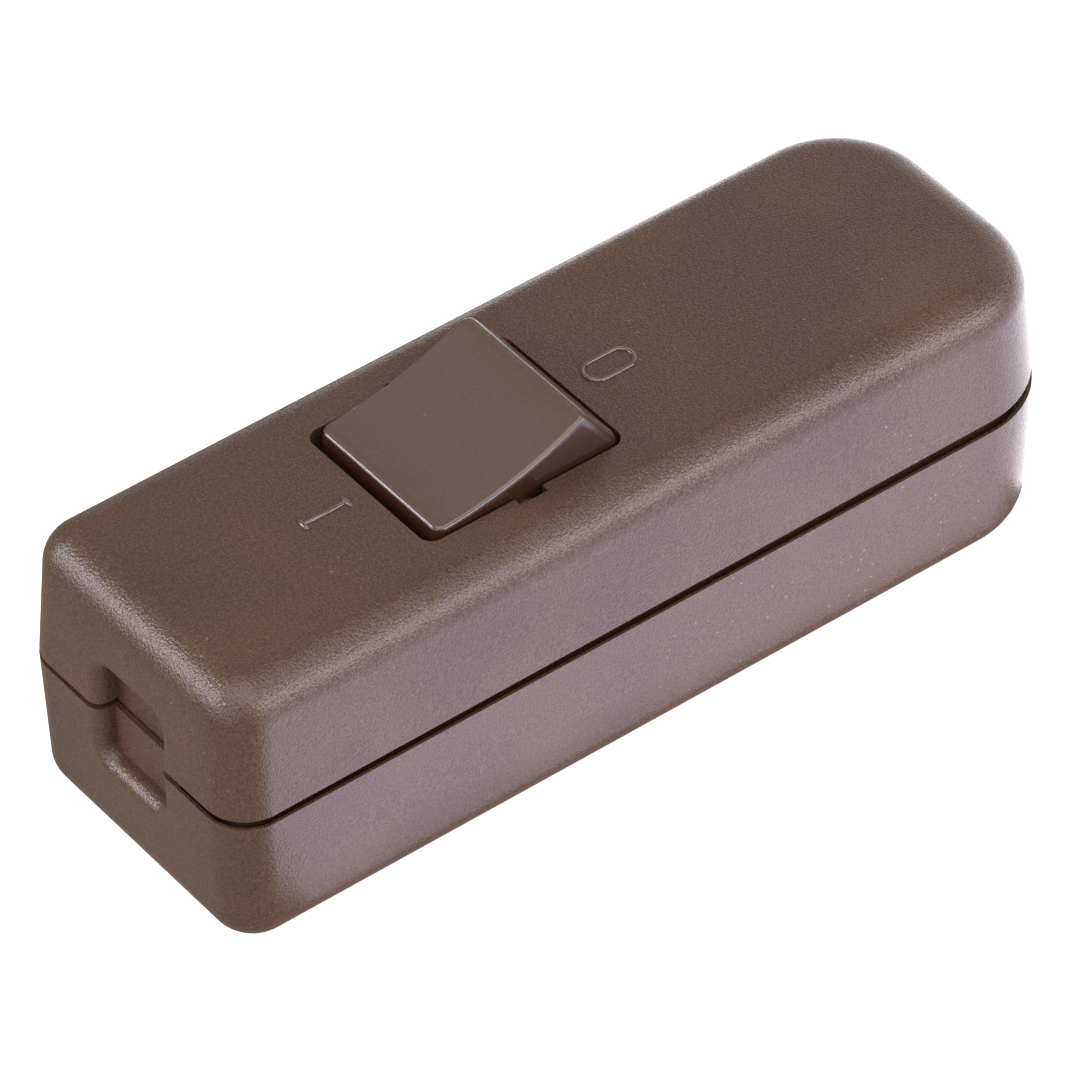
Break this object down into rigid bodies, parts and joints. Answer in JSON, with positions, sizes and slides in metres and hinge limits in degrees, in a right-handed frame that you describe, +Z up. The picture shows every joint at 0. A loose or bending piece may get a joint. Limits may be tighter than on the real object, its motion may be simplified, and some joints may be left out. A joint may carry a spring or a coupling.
{
  "type": "inline cord switch",
  "caption": "Inline switch for a flexible cord: long two-part brown plastic case with rounded ends, break-out cable entries and a dished rocker set off centre.",
  "frame": {"origin": "centre of the underside, where the case rests", "axes": "+X along the case from the end beside the rocker to the end marked 0, +Z up from the underside, +Y across the case"},
  "size_m": [0.086, 0.0294, 0.0314],
  "materials": {
    "shell": "fine eroded grain with a satin sheen",
    "rocker": "smooth satin",
    "plunger": "natural",
    "spring": "bright drawn wire",
    "copper": "rolled copper alloy",
    "silver": "silver contact faces",
    "brass": "machined",
    "screw": "zinc plated",
    "clamp": "matt"
  },
  "bodies": {
    "housing": {"lower_shell": "shell", "upper_shell": "shell", "fixed_contact_left": "silver", "fixed_contact_right": "silver", "line_terminal_left": "brass", "line_terminal_right": "brass", "load_terminal_left": "brass", "load_terminal_right": "brass", "earth_terminal": "brass", "terminal_screws": "screw", "near_cord_clamp": "clamp", "far_cord_clamp": "clamp", "clamp_screws": "screw", "housing_screws": "screw"},
    "rocker": {"rocker": "rocker", "plunger_spring_left": "spring", "plunger_spring_right": "spring"},
    "plunger_left": {"plunger_left": "plunger"},
    "seesaw_left": {"seesaw_left": "copper", "moving_contact_left": "silver"},
    "plunger_right": {"plunger_right": "plunger"},
    "seesaw_right": {"seesaw_right": "copper", "moving_contact_right": "silver"}
  },
  "joints": [
    {"name": "rocker_tilt", "type": "hinge", "parent": "housing", "child": "rocker", "pos_m": [-0.00897, 0, 0.0249], "axis": [0, 1, 0], "range_deg": [0, 30]},
    {"name": "plunger_left_slide", "type": "slide", "parent": "rocker", "child": "plunger_left", "axis": [-0.2588, 0, 0.9659], "range_m": [0, 0.0008], "stiffness_N_per_m": 500, "springref_m": -0.002, "deforming": ["plunger_spring_left"]},
    {"name": "seesaw_left_tilt", "type": "hinge", "parent": "housing", "child": "seesaw_left", "pos_m": [-0.00897, 0.0046, 0.01355], "axis": [0, 1, 0], "range_deg": [-18, 0]},
    {"name": "plunger_right_slide", "type": "slide", "parent": "rocker", "child": "plunger_right", "axis": [-0.2588, 0, 0.9659], "range_m": [0, 0.0008], "stiffness_N_per_m": 500, "springref_m": -0.002, "deforming": ["plunger_spring_right"]},
    {"name": "seesaw_right_tilt", "type": "hinge", "parent": "housing", "child": "seesaw_right", "pos_m": [-0.00897, -0.0046, 0.01355], "axis": [0, 1, 0], "range_deg": [-18, 0]}
  ],
  "couplings": [
    {"joint": "seesaw_left_tilt", "follows": "rocker_tilt", "ratio": -0.6},
    {"joint": "seesaw_right_tilt", "follows": "rocker_tilt", "ratio": -0.6}
  ]
}
